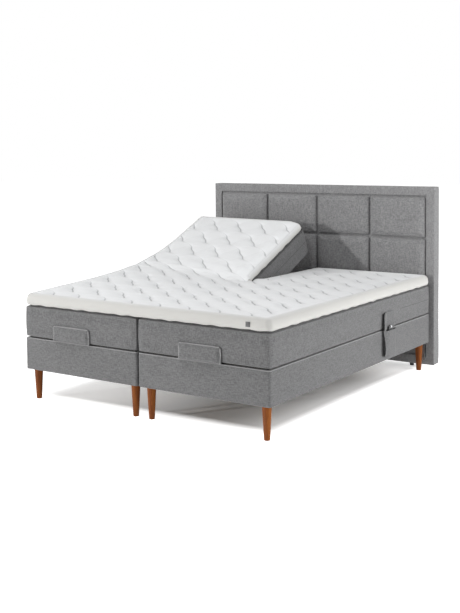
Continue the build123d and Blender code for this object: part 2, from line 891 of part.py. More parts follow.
# Headboard: upholstered panel, padded tiles, fixing bars and floor glides
panel_front = head_y + headboard_gap
panel_middle = panel_front + headboard_depth / 2
panel_height = headboard_top - headboard_bottom
headboard_width = bed_width + 2 * headboard_overhang
with BuildPart() as headboard_panel:
    with BuildSketch(Plane.YZ):
        with Locations((panel_middle, headboard_bottom + panel_height / 2)):
            RectangleRounded(headboard_depth, panel_height, headboard_edge)
    extrude(amount=headboard_width / 2, both=True)
    # Padded border at the top and down both sides, round the field of tiles
    border_top = headboard_top - headboard_edge
    border_foot = headboard_bottom + headboard_edge
    with BuildSketch(Plane.XZ.offset(-panel_front)):
        with Locations((0, (border_top + tile_field_top) / 2)):
            Rectangle(headboard_width, border_top - tile_field_top)
        for x in both_sides(0, (headboard_width - tile_border) / 2):
            with Locations((x, (border_top + border_foot) / 2)):
                Rectangle(tile_border, border_top - border_foot)
    extrude(amount=border_depth)
write(headboard_panel, "headboard_panel")


def pillow_outline(middle, width, edge_depth, depth):
    # Crowned outline on a front line: flat back, upright edges and an arched face
    low = middle - width / 2
    high = middle + width / 2
    Polyline((low, -edge_depth), (low, 0), (high, 0), (high, -edge_depth))
    ThreePointArc((high, -edge_depth), (middle, -depth), (low, -edge_depth))


tile_field_width = headboard_width - 2 * tile_border
tile_width = tile_field_width / tile_columns
field_bottom = tile_field_top - tile_rows * tile_height
with BuildPart() as headboard_tiles:
    with BuildSketch(Plane(origin=(0, panel_front, field_bottom))):
        for column in range(tile_columns):
            with BuildLine():
                tile_x = (column + 0.5) * tile_width - tile_field_width / 2
                pillow_outline(tile_x, tile_width - tile_joint, tile_side_depth, tile_depth)
            make_face()
    extrude(amount=tile_rows * tile_height)
    row_plane = Plane(
        origin=(tile_field_width / 2, panel_front, field_bottom), x_dir=(0, 0, 1), z_dir=(-1, 0, 0)
    )
    with BuildSketch(row_plane):
        for row in range(tile_rows):
            with BuildLine():
                pillow_outline(
                    (row + 0.5) * tile_height,
                    tile_height - tile_joint,
                    tile_rim_depth,
                    tile_depth + tile_rim_rise,
                )
            make_face()
    extrude(amount=tile_field_width, mode=Mode.INTERSECT)
write(headboard_tiles, "headboard_tiles")

bar_xs = both_sides(0, bed_width / 2 - bar_inset)
with BuildPart() as headboard_bars:
    with BuildSketch(Plane.XY.offset(bar_bottom)):
        with Locations(*[(x, head_y + headboard_gap / 2) for x in bar_xs]):
            Rectangle(bar_width, headboard_gap)
    extrude(amount=block_top - bar_bottom)
write(headboard_bars, "headboard_bars")

glide_xs = both_sides(0, headboard_width / 2 - glide_foot_inset)
with BuildPart() as headboard_glides:
    with BuildSketch():
        with Locations(*[(x, panel_middle) for x in glide_xs]):
            Circle(glide_foot_radius)
    extrude(amount=headboard_bottom)
write(headboard_glides, "headboard_glides")
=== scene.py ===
import math

import bmesh
import bpy
import numpy as np
from mathutils import Matrix, Vector


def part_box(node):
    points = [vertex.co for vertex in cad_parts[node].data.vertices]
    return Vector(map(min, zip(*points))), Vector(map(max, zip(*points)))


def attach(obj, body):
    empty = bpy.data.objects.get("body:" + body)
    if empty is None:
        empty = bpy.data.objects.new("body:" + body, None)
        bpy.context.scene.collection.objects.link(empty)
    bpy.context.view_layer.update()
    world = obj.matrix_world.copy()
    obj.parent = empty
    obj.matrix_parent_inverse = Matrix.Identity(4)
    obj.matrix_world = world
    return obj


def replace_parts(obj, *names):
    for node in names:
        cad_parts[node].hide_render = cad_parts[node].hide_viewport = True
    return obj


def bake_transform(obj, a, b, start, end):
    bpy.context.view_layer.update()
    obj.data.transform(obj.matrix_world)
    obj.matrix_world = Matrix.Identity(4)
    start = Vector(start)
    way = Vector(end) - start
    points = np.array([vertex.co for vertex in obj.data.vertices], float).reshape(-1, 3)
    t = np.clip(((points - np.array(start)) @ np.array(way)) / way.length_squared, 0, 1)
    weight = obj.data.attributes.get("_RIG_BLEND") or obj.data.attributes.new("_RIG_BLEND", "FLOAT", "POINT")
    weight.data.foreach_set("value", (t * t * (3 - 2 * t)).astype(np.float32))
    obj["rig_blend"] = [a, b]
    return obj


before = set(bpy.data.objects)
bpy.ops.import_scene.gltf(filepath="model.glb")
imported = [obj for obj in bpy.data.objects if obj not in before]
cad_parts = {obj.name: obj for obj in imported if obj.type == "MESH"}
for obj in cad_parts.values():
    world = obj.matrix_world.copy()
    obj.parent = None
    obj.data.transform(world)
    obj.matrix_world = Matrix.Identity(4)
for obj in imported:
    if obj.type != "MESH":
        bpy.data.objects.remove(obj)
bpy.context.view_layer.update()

scene = bpy.context.scene
units = ("left", "right")

viewSettings = {
    "place": (3.6849, -5.5461, 1.5827),
    "yaw": 34.286, "pitch": -3.149, "roll": -0.492,  # degrees
    "focalPixels": 1009.4,
    "centre": (229, 200),  # where the optical axis meets the picture
    "picture": (460, 613),
    "sensor": 36,
}


def placeCamera(settings):
    yaw, pitch, roll = (math.radians(settings[k]) for k in ("yaw", "pitch", "roll"))
    ahead = Vector((-math.sin(yaw) * math.cos(pitch), math.cos(yaw) * math.cos(pitch), math.sin(pitch)))
    level = Vector((math.cos(yaw), math.sin(yaw), 0))
    upright = level.cross(ahead)
    across = math.cos(roll) * level + math.sin(roll) * upright
    upward = math.cos(roll) * upright - math.sin(roll) * level
    wide, tall = settings["picture"]
    lens = bpy.data.cameras.new("photoCamera")
    lens.sensor_width = settings["sensor"]
    lens.lens = settings["focalPixels"] / tall * settings["sensor"]
    lens.shift_x = (wide / 2 - settings["centre"][0]) / tall
    lens.shift_y = (settings["centre"][1] - tall / 2) / tall
    camera = bpy.data.objects.new("photoCamera", lens)
    turn = Matrix((across, upward, -ahead)).transposed().to_4x4()
    camera.matrix_world = Matrix.Translation(settings["place"]) @ turn
    scene.collection.objects.link(camera)
    scene.camera = camera


placeCamera(viewSettings)


sunSettings = {"along": (0.6, 1.0, -0.14), "strength": 1.85, "angle": 2.0, "colour": (1, 0.99, 0.98)}
lightSettings = {
    # name: place, aim, size across, size up, watts
    "rightLight": ((4.6, 0.5, 2.3), (0.4, 0.0, 0.4), 3.0, 2.2, 240),
    "leftLight": ((-2.9, -3.5, 1.0), (0.0, -0.6, 0.4), 0.8, 0.8, 36),
    "topLight": ((-0.9, -1.9, 3.8), (-0.2, -0.6, 0), 2.8, 2.8, 134),
    "rearLight": ((-1.5, 5.0, 2.6), (0, 1.0, 0.6), 2.5, 2.0, 85),
}
roomLight = {"strength": 0.035, "seen": 1.0}  # the background in the picture is plain white


def addLights():
    sun = bpy.data.lights.new("keySun", "SUN")
    sun.energy = sunSettings["strength"]
    sun.angle = math.radians(sunSettings["angle"])
    sun.color = sunSettings["colour"]
    holder = bpy.data.objects.new("keySun", sun)
    holder.rotation_euler = Vector(sunSettings["along"]).to_track_quat("-Z", "Y").to_euler()
    scene.collection.objects.link(holder)
    for name, (place, aim, across, up, watts) in lightSettings.items():
        lamp = bpy.data.lights.new(name, "AREA")
        lamp.shape = "RECTANGLE"
        lamp.size, lamp.size_y = across, up
        lamp.energy = watts
        holder = bpy.data.objects.new(name, lamp)
        holder.location = place
        holder.rotation_euler = (Vector(aim) - Vector(place)).to_track_quat("-Z", "Y").to_euler()
        scene.collection.objects.link(holder)
    world = bpy.data.worlds.new("studio")
    world.use_nodes = True
    tree = world.node_tree
    room = tree.nodes["Background"]
    seen = tree.nodes.new("ShaderNodeBackground")
    for shader, strength in ((room, roomLight["strength"]), (seen, roomLight["seen"])):
        shader.inputs["Color"].default_value = (1, 1, 1, 1)
        shader.inputs["Strength"].default_value = strength
    ray = tree.nodes.new("ShaderNodeLightPath")
    either = tree.nodes.new("ShaderNodeMixShader")
    tree.links.new(ray.outputs["Is Camera Ray"], either.inputs[0])
    tree.links.new(room.outputs[0], either.inputs[1])
    tree.links.new(seen.outputs[0], either.inputs[2])
    tree.links.new(either.outputs[0], tree.nodes["World Output"].inputs["Surface"])
    scene.world = world
    scene.view_settings.view_transform = "Standard"
    scene.view_settings.look = "None"


addLights()
print("camera and lights ready")


class Paint:
    # one socket of a shader tree, and Python operators that add Math nodes to it
    def __init__(self, tree, socket=None):
        self.tree = tree
        self.socket = socket

    def node(self, kind, settings=None, inputs=None, out=0):
        made = self.tree.nodes.new(kind)
        for key, value in (settings or {}).items():
            if key == "stops":
                ramp = made.color_ramp.elements
                while len(ramp) < len(value):
                    ramp.new(0.5)
                for stop, (place, colour) in zip(ramp, value):
                    stop.position = place
                    stop.color = (*colour, 1)
            else:
                setattr(made, key, value)
        for key, value in (inputs or {}).items():
            if isinstance(value, Paint):
                self.tree.links.new(value.socket, made.inputs[key])
            else:
                made.inputs[key].default_value = value
        return Paint(self.tree, made.outputs[out])

    def math(self, operation, *values):
        return self.node("ShaderNodeMath", {"operation": operation}, dict(enumerate(values)))

    def __add__(self, other): return self.math("ADD", self, other)
    def __radd__(self, other): return self.math("ADD", other, self)
    def __sub__(self, other): return self.math("SUBTRACT", self, other)
    def __rsub__(self, other): return self.math("SUBTRACT", other, self)
    def __mul__(self, other): return self.math("MULTIPLY", self, other)
    def __rmul__(self, other): return self.math("MULTIPLY", other, self)
    def __truediv__(self, other): return self.math("DIVIDE", self, other)
    def __rtruediv__(self, other): return self.math("DIVIDE", other, self)

    def sine(self): return self.math("SINE", self)
    def absolute(self): return self.math("ABSOLUTE", self)
    def ramp(self, low, high, toLow=0.0, toHigh=1.0):
        return self.node("ShaderNodeMapRange", {"clamp": True, "interpolation_type": "SMOOTHSTEP"},
                         {0: self, 1: low, 2: high, 3: toLow, 4: toHigh})

    def axes(self):
        split = self.tree.nodes.new("ShaderNodeSeparateXYZ")
        self.tree.links.new(self.socket, split.inputs[0])
        return [Paint(self.tree, o) for o in split.outputs]

    def scaled(self, x, y, z):
        return self.node("ShaderNodeMapping", {"vector_type": "POINT"}, {0: self, "Scale": (x, y, z)})

    def noise(self, scale, detail=3.0, rough=0.55):
        return self.node("ShaderNodeTexNoise", {}, {"Vector": self, "Scale": scale, "Detail": detail,
                                                    "Roughness": rough})

    def mix(self, first, second):
        # self is the share of the second colour
        return self.node("ShaderNodeMix", {"data_type": "RGBA"}, {0: self, 6: first, 7: second}, out=2)

    def tint(self, colour):
        # colour darkened by self
        return self.node("ShaderNodeMix", {"data_type": "RGBA", "blend_type": "MULTIPLY"},
                         {0: 1.0, 6: colour, 7: self}, out=2)


def startMaterial(name, fixed):
    made = bpy.data.materials.new(name)
    made.use_nodes = True
    tree = made.node_tree
    shader = tree.nodes["Principled BSDF"]
    for key, value in fixed.items():
        shader.inputs[key].default_value = value

    def join(paint, key):
        tree.links.new(paint.socket, shader.inputs[key])

    def bump(height, strength, distance):
        join(Paint(tree).node("ShaderNodeBump", {}, {"Height": height, "Strength": strength,
                                                     "Distance": distance}), "Normal")

    return made, Paint(tree), join, bump


def placeOf(paint, attribute=None):
    if attribute:
        return paint.node("ShaderNodeAttribute", {"attribute_name": attribute}, out="Vector")
    return paint.node("ShaderNodeTexCoord", out="Object")


greyCloth = {
    # the much lighter edge colour is a painted highlight, laid along edges where light catches
    "dark": (0.064, 0.064, 0.065, 1), "light": (0.136, 0.136, 0.138, 1), "fold": (0.32, 0.32, 0.322, 1),
    "threads": 2 * math.pi / 0.0032,  # waves per metre of the weave
    "slubScale": 310, "slubStretch": 6, "cloudScale": 14,
    "slubRange": (0.3, 0.7), "slubShare": 0.42, "cloudShare": 0.16, "weaveShare": 0.10,
    "rough": (0.86, 0.12), "weaveBump": 0.4, "bump": (0.35, 0.0012),  # the bump's strength and depth
    "seamHeight": 0.497, "seamFrom": 0.50, "seamFade": 0.05, "seamHalf": 0.0016, "seamDark": 0.55,
}


def makeGreyCloth(name, attribute=None, seam=False, lighter=1.0):
    s = greyCloth
    made, paint, join, bump = startMaterial(name, {"Roughness": 0.92, "Specular IOR Level": 0.25,
                                                   "Sheen Weight": 0.12, "Sheen Roughness": 0.5})
    place = placeOf(paint, attribute)
    x, y, z = place.axes()
    weave = ((x * s["threads"]).sine() + (y * s["threads"]).sine() + (z * s["threads"]).sine()) / 3
    along = place.scaled(1 / s["slubStretch"], 1 / s["slubStretch"], 1).noise(s["slubScale"])
    upright = place.scaled(1, 1, 1 / s["slubStretch"]).noise(s["slubScale"])
    cloud = place.noise(s["cloudScale"], 2)
    melange = (along.ramp(*s["slubRange"]) * s["slubShare"] + upright.ramp(*s["slubRange"]) * s["slubShare"]
               + cloud * s["cloudShare"])
    shade = (melange + weave * s["weaveShare"]).ramp(0.0, 1.0)
    # a factor above one makes a lighter copy of this cloth: painted light
    dark, light = ([share * lighter for share in s[tone][:3]] + [1] for tone in ("dark", "light"))
    colour = shade.mix(dark, light)
    # painted highlight: edges marked by this attribute take a lighter colour, as if lit
    highlightShare = paint.node("ShaderNodeAttribute", {"attribute_name": "fold"}, out="Fac")
    colour = highlightShare.mix(colour, s["fold"])
    if seam:
        line = (z - s["seamHeight"]).absolute().ramp(s["seamHalf"] * 0.4, s["seamHalf"] * 1.6)
        line = 1 - (1 - line) * y.ramp(s["seamFrom"], s["seamFrom"] + s["seamFade"]) * s["seamDark"]
        colour = line.tint(colour)
    join(colour, "Base Color")
    join(s["rough"][0] + melange * s["rough"][1], "Roughness")
    bump(weave * s["weaveBump"] + melange, *s["bump"])
    return made


quilt = {
    "wide": 0.210, "long": 0.175, "shift": 0.063,  # one diamond, and where the first one starts
    "pitch": 0.189, "wave": 0.078,  # how often the lines swing, and how far as a share of a diamond
    "puff": 0.0155, "puffPower": 0.45, "steepShare": 0.86, "crossShare": 0.10,
    # the stitch lines take the thread colour over a wide band: partly the thread, partly painted shade in
    # the quilting grooves
    "stitchHalf": 0.050, "stitchThreadAndShade": 0.85,
    # distances from the rim: where the stitches start, where the cream of the sides, with its painted shade,
    # turns white, and the hem
    "stitchRim": (0.034, 0.046), "whiteRim": (0.012, 0.046), "hemRim": 0.038,
    "hemHalf": (0.0004, 0.0022), "hemDark": 0.15,
    "knitScale": 2400, "fluffScale": 240, "fluffTone": (0.95, 0.08), "rough": (0.78, 0.16),
    "knitBump": 0.15, "fluffBump": 0.6, "stitchBump": 2, "bump": (0.4, 0.0015),
    # the cream is the side border's cloth, darkened further as painted shade on the topper's sides
    "white": (0.560, 0.567, 0.574, 1), "shadedCream": (0.390, 0.386, 0.371, 1),
    "thread": (0.27, 0.275, 0.285, 1),
}


def makeTopperCloth():
    s = quilt
    made, paint, join, bump = startMaterial("topperCloth", {"Roughness": 0.85, "Specular IOR Level": 0.3,
                                                            "Sheen Weight": 0.15})
    place = placeOf(paint, "flatPlace")
    rim = paint.node("ShaderNodeAttribute", {"attribute_name": "rimDistance"}, out="Fac")
    x, y = place.axes()[:2]
    across, down = (x + s["shift"]) / s["wide"], y / s["long"]
    turn = y * (2 * math.pi / s["pitch"])
    swing = (turn.sine() + (turn * 2).sine() * 0.5) * s["wave"]
    one, two = across + down + swing, across - down - swing
    flat = 0.5 + paint.math("COSINE", turn) * 0.5  # the stitches fade where the lines lie across the bed
    steep = 1 - flat * flat * flat * s["steepShare"]
    main = (1 - paint.math("PINGPONG", one, 0.5).ramp(0.0, s["stitchHalf"])) * steep
    cross = (1 - paint.math("PINGPONG", two, 0.5).ramp(0.0, s["stitchHalf"])) * s["crossShare"]
    stitch = paint.math("MAXIMUM", main, cross) * rim.ramp(*s["stitchRim"])
    hem = 1 - (rim - s["hemRim"]).absolute().ramp(*s["hemHalf"])
    knit = (x * s["knitScale"]).sine() * (y * s["knitScale"]).sine()
    fluff = place.noise(s["fluffScale"], 3)
    # the sides take the cream with its painted shade, and it turns white over the rounded top edge
    colour = rim.ramp(*s["whiteRim"]).mix(s["shadedCream"], s["white"])
    # stitch lines darken towards the thread colour: partly the thread, partly painted groove shade; the hem
    # is thread
    colour = (stitch * s["stitchThreadAndShade"] + hem * s["hemDark"]).mix(colour, s["thread"])
    colour = (s["fluffTone"][0] + fluff * s["fluffTone"][1]).tint(colour)
    join(colour, "Base Color")
    join(s["rough"][0] + fluff * s["rough"][1], "Roughness")
    bump(knit * s["knitBump"] + fluff * s["fluffBump"] - stitch * s["stitchBump"] - hem, *s["bump"])
    return made


grainSettings = {
    # run: the scale along x, y and z, small where the grain is long
    "legWood": {"run": (1, 1, 0.07), "scale": 42, "rough": (0.48, 0.2), "coat": 0.04, "stops": (
        (0.15, (0.096, 0.022, 0.001)), (0.5, (0.148, 0.038, 0.002)), (0.9, (0.208, 0.062, 0.004)))},
    "timber": {"run": (1, 0.06, 1), "scale": 30, "rough": (0.6, 0.25), "coat": 0.0, "stops": (
        (0.2, (0.42, 0.27, 0.14)), (0.55, (0.58, 0.41, 0.23)), (0.9, (0.68, 0.52, 0.32)))},
    # near black: the decks' dark colour paints the shade in the gap between the mattress and the base
    "plywood": {"run": (1, 0.05, 1), "scale": 26, "rough": (0.55, 0.25), "coat": 0.0, "stops": (
        (0.2, (0.020, 0.016, 0.013)), (0.55, (0.032, 0.026, 0.021)), (0.9, (0.048, 0.040, 0.032)))},
}
poreSettings = {"finer": 9, "share": 0.25, "contrast": (0.25, 0.75), "bump": (0.12, 0.0006)}


def makeGrain(name):
    s = grainSettings[name]
    made, paint, join, bump = startMaterial(name, {"Coat Weight": s["coat"], "Coat Roughness": 0.25,
                                                   "Specular IOR Level": 0.16})
    p = poreSettings
    place = placeOf(paint).scaled(*s["run"])
    grain = place.noise(s["scale"], 5, 0.6)
    pores = place.noise(s["scale"] * p["finer"], 2)
    mixed = grain * (1 - p["share"]) + pores * p["share"]
    colour = paint.node("ShaderNodeValToRGB", {"stops": s["stops"]}, {0: mixed.ramp(*p["contrast"])})
    join(colour, "Base Color")
    join(s["rough"][0] + pores * s["rough"][1], "Roughness")
    bump(mixed, *p["bump"])
    return made


hardFinishes = {
    # base colour, lighter colour, metal, roughness, its spread, grain per metre
    "dark_steel": ((0.022, 0.023, 0.025), (0.045, 0.046, 0.048), 0.3, 0.42, 0.16, 900),
    "zinc_steel": ((0.42, 0.43, 0.44), (0.60, 0.61, 0.62), 1.0, 0.30, 0.22, 60),
    "drive_plastic": ((0.030, 0.031, 0.033), (0.052, 0.053, 0.056), 0.0, 0.50, 0.14, 1200),
    "motor_metal": ((0.30, 0.31, 0.32), (0.46, 0.47, 0.48), 1.0, 0.36, 0.2, 160),
    "black_plastic": ((0.014, 0.014, 0.015), (0.030, 0.030, 0.032), 0.0, 0.40, 0.16, 1500),
    "grey_plastic": ((0.42, 0.43, 0.44), (0.52, 0.53, 0.54), 0.0, 0.38, 0.14, 1300),
}
wearSettings = {"smearScale": 7, "smearShare": 0.55, "contrast": (0.3, 0.7), "bump": (0.15, 0.0004)}


def makeHard(name):
    low, high, metal, rough, spread, grain = hardFinishes[name]
    made, paint, join, bump = startMaterial(name, {"Metallic": metal})
    s = wearSettings
    place = placeOf(paint)
    speck = place.noise(grain, 3)
    smear = place.noise(s["smearScale"], 4, 0.6)
    mixed = speck * (1 - s["smearShare"]) + smear * s["smearShare"]
    join(mixed.ramp(*s["contrast"]).mix((*low, 1), (*high, 1)), "Base Color")
    join(rough + (mixed - 0.5) * (2 * spread), "Roughness")
    bump(speck, *s["bump"])
    return made


finishes = {
    "base_fabric": makeGreyCloth("baseCloth"),
    "mattress_fabric": makeGreyCloth("mattressCloth", "flatPlace", seam=True),
    # the headboard's cloth is the same grey cloth made lighter: painted light, brighter than this cloth on
    # the base
    "headboard_fabric": makeGreyCloth("headboardCloth", lighter=1.46),
    "topper_fabric": makeTopperCloth(),
    "timber": makeGrain("timber"),
    "leg_wood": makeGrain("legWood"),
    "plywood": makeGrain("plywood"),
}
for finish in hardFinishes:
    finishes[finish] = makeHard(finish)
print("finishes ready")


def finishPiece(name, bm, finish, body=None, smoothAngle=40, merge=True):
    if merge:
        bmesh.ops.remove_doubles(bm, verts=bm.verts, dist=1e-6)
    bmesh.ops.recalc_face_normals(bm, faces=bm.faces)
    mesh = bpy.data.meshes.new(name)
    bm.to_mesh(mesh)
    bm.free()
    mesh.polygons.foreach_set("use_smooth", np.ones(len(mesh.polygons), bool))
    mesh.set_sharp_from_angle(angle=math.radians(smoothAngle))
    mesh.materials.append(finishes[finish])
    piece = bpy.data.objects.new(name, mesh)
    scene.collection.objects.link(piece)
    if body:
        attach(piece, body)
    return piece


def boxAt(bm, low, high):
    made = bmesh.ops.create_cube(bm, size=1)["verts"]
    low, high = Vector(low), Vector(high)
    bmesh.ops.scale(bm, vec=high - low, verts=made)
    bmesh.ops.translate(bm, vec=(low + high) / 2, verts=made)
    return made


def edgesAlong(bm, axis):
    return [e for e in bm.edges if abs((e.verts[0].co - e.verts[1].co).normalized()[axis]) > 0.999]


def vertsOf(geom):
    return [g for g in geom if isinstance(g, bmesh.types.BMVert)]


def roundEdges(bm, edges, size, segments):
    bmesh.ops.bevel(bm, geom=edges, offset=size, affect="EDGES", segments=segments,
                    profile=0.5, material=-1, clamp_overlap=True)


def smoothstep(low, high, value):
    share = np.clip((value - low) / (high - low), 0, 1)
    return share * share * (3 - 2 * share)


def meshPlaces(mesh):
    places = np.empty(len(mesh.vertices) * 3)
    mesh.vertices.foreach_get("co", places)
    return places.reshape(-1, 3)


def storeValues(mesh, name, values, kind="FLOAT", key="value"):
    layer = mesh.attributes.get(name) or mesh.attributes.new(name, kind, "POINT")
    layer.data.foreach_set(key, np.asarray(values, np.float32).ravel())


hinges = {
    "back": (0.04665, 0.360),  # y and z of the back sections' axis
    "leftRaised": 24,  # degrees, in the built pose
    "backZone": (-0.115, 0.305), "thighZone": (-0.450, -0.125), "kneeZone": (-0.80, -0.475),
    "backLowZone": (0.000, 0.095),  # the underside of the mattress bends close to the hinge
    "seatCut": -0.118, "thighCut": -0.463,  # where the soft pieces meet, inside a rigid section
}


def slabGrid(xRange, yRange, step, levels):
    # a grid for the top, pushed down to a bottom, with the walls cut into levels; z runs 0 to -1
    bm = bmesh.new()
    wide, long = xRange[1] - xRange[0], yRange[1] - yRange[0]
    bmesh.ops.create_grid(bm, x_segments=round(wide / step), y_segments=round(long / step), size=0.5)
    bmesh.ops.scale(bm, vec=(wide, long, 1), verts=bm.verts)
    bmesh.ops.translate(bm, vec=(sum(xRange) / 2, sum(yRange) / 2, 0), verts=bm.verts)
    pushed = bmesh.ops.extrude_face_region(bm, geom=bm.faces[:], use_keep_orig=True)["geom"]
    bmesh.ops.translate(bm, vec=(0, 0, -1), verts=vertsOf(pushed))
    bmesh.ops.subdivide_edges(bm, edges=edgesAlong(bm, 2), cuts=levels, use_grid_fill=True)
    return bm


def slabPlaces(flat, form):
    # rounds a flat slab: plan corners, top and bottom edges and bulging sides
    x, y, share = flat[:, 0].copy(), flat[:, 1].copy(), -flat[:, 2]
    right = np.abs(form["x"][1] - x) < np.abs(x - form["x"][0])
    head = np.abs(form["y"][1] - y) < np.abs(y - form["y"][0])
    sideX, sideY = np.where(right, 1, -1), np.where(head, 1, -1)
    fromX = np.where(right, form["x"][1] - x, x - form["x"][0])
    fromY = np.where(head, form["y"][1] - y, y - form["y"][0])
    if "slitSide" in form:  # the inner edge is free only above the root of the slit
        slit, inner = form["slit"], sideX == form["slitSide"]
        free = smoothstep(slit["root"], slit["root"] + slit["fade"], y)
        fromX = np.where(inner, fromX + (1 - free) * slit["inset"], fromX)
        near = 1 - np.clip(fromX / slit["reach"], 0, 1)
        x = np.where(inner, x - sideX * slit["gap"] * free * near, x)
    corner = form["corner"]
    cx, cy = np.clip(corner - fromX, 0, corner), np.clip(corner - fromY, 0, corner)
    turned = (cx > 0) & (cy > 0)
    mx = np.where(turned, cx * np.sqrt(1 - cy ** 2 / (2 * corner ** 2)), cx)
    my = np.where(turned, cy * np.sqrt(1 - cx ** 2 / (2 * corner ** 2)), cy)
    x, y = x + sideX * (mx - cx), y + sideY * (my - cy)
    reach = np.maximum(np.hypot(mx, my), 1e-9)
    rim = np.where(turned, corner - reach, np.minimum(fromX, fromY))
    outX = np.where(turned, sideX * mx / reach, np.where(fromX <= fromY, sideX, 0))
    outY = np.where(turned, sideY * my / reach, np.where(fromX <= fromY, 0, sideY))

    def rounded(radius):
        angle = np.clip(rim / radius, 0, 1) * math.pi / 2
        outward = np.where(rim < radius, rim - radius * (1 - np.cos(angle)), 0)
        return outward, radius * (1 - np.sin(angle))

    topOut, topDrop = rounded(form["edge"])
    lowOut, lowRise = rounded(form["lowEdge"])
    onSide = 1 - smoothstep(0, form["edge"], rim)
    bulge = form["bulge"] * np.sin(math.pi * np.clip(share, 0, 1)) * onSide
    out = topOut * (1 - share) + lowOut * share + bulge
    z = (form["z"][1] - topDrop) * (1 - share) + (form["z"][0] + lowRise) * share
    return np.stack([x + out * outX, y + out * outY, z], 1), rim


def turnAbout(places, hinge, angles):
    y, z = places[:, 1] - hinge[0], places[:, 2] - hinge[1]
    c, s = np.cos(angles), np.sin(angles)
    return np.stack([places[:, 0], hinge[0] + y * c - z * s, hinge[1] + y * s + z * c], 1)


def bendBetween(piece, bodies, zone, share, rising):
    z = hinges["back"][1]
    start, end = zone if rising > 0 else zone[::-1]
    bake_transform(piece, *bodies, start=(0, start, z), end=(0, end, z))
    storeValues(piece.data, "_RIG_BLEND", share if rising > 0 else 1 - share)


mattress = {
    "y": (-1.09335, 1.00665), "z": (0.394, 0.5940),
    "edge": 0.010, "lowEdge": 0.008, "corner": 0.020, "bulge": 0.0035,
    "step": 0.028, "levels": 7, "sharpAngle": 50,
}
mattressUnits = {"left": (-0.900, -0.004), "right": (0.004, 0.900)}


def makeMattress(unit):
    form = {**mattress, "x": mattressUnits[unit]}
    cuts = (form["y"][0], hinges["thighCut"], hinges["seatCut"], form["y"][1])
    parts = (
        # name, bodies, bend, rising to the head end or falling, CAD nodes
        ("Foot", (f"{unit}_thigh", f"{unit}_calf"), hinges["kneeZone"], -1,
         (f"{unit}_mattress_calf",)),
        ("Middle", ("base", f"{unit}_thigh"), hinges["thighZone"], -1,
         (f"{unit}_mattress_thigh", "mattress_seats")),
        ("Back", ("base", f"{unit}_back"), hinges["backZone"], 1,
         (f"{unit}_mattress_back", "mattress_bends")),
    )
    for low, high, (word, bodies, zone, rising, nodes) in zip(cuts, cuts[1:], parts):
        bm = slabGrid(form["x"], (low, high), form["step"], form["levels"])
        piece = finishPiece(f"{unit}Mattress{word}", bm, "mattress_fabric")
        flat = meshPlaces(piece.data)
        places = slabPlaces(flat, form)[0]
        storeValues(piece.data, "flatPlace", places, "FLOAT_VECTOR", "vector")
        lowZone = hinges["backLowZone"] if word == "Back" else zone
        zoneAt = [top - (under - top) * flat[:, 2] for top, under in zip(zone, lowZone)]
        share = smoothstep(*zoneAt, flat[:, 1])
        if unit == "left" and word == "Back":
            places = turnAbout(places, hinges["back"], share * math.radians(hinges["leftRaised"]))
        piece.data.vertices.foreach_set("co", places.ravel())
        piece.data.update()
        piece.data.set_sharp_from_angle(angle=math.radians(form["sharpAngle"]))
        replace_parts(piece, *nodes)
        bendBetween(piece, bodies, zone, share, rising)


for unit in units:
    makeMattress(unit)
print("mattress units ready")


topper = {
    "x": (-0.902, 0.902), "y": (-1.0955, 1.00265), "z": (0.5965, 0.6670),
    "edge": 0.034, "lowEdge": 0.010, "corner": 0.036, "bulge": 0.002,
    "step": 0.009, "levels": 4, "sharpAngle": 60,
    "middle": 0.0, "slit": {"root": 0.150, "fade": 0.09, "gap": 0.004, "inset": 0.06, "reach": 0.1},
    # the inner edge of the raised half is soft
    "sag": 0.019, "sagFrom": (0.02, 0.17), "sagReach": 0.10, "sagTurn": 0.018,
    "quiltRim": (0.030, 0.064),  # the quilting grows between these distances from the rim
    "scallop": 0.0034, "scallopLong": 0.118, "scallopRim": 0.03,
}
bridge = {
    # the topper spans the bend at the free left edge
    "y": (-1.09, -0.78, -0.46, -0.21, -0.08, 0.04, 0.11, 0.17, 0.23, 0.30, 0.36, 0.48, 0.61, 1.01),
    "rise": (0.0, 0.016, 0.033, 0.054, 0.073, 0.087, 0.086, 0.077, 0.062, 0.045, 0.033, 0.020, 0.013,
             0.014),
    "from": -0.896, "to": 0.06,
}


def quiltHeight(x, y):
    s = quilt
    # the same lines as in the topper's cloth
    across, down = (x + s["shift"]) / s["wide"], y / s["long"]
    turn = 2 * math.pi * y / s["pitch"]
    swing = s["wave"] * (np.sin(turn) + 0.5 * np.sin(2 * turn))
    one, two = across + down + swing, across - down - swing
    steep = 1 - s["steepShare"] * (0.5 + 0.5 * np.cos(turn)) ** 3
    main = (np.abs(np.sin(math.pi * one)) ** s["puffPower"] - 1) * steep
    cross = (np.abs(np.sin(math.pi * two)) ** s["puffPower"] - 1) * s["crossShare"]
    return s["puff"] * (main + cross)


def bridgeRise(x, y):
    smooth = np.interp(y, bridge["y"], bridge["rise"])
    return smooth * np.clip((bridge["to"] - x) / (bridge["to"] - bridge["from"]), 0, 1)


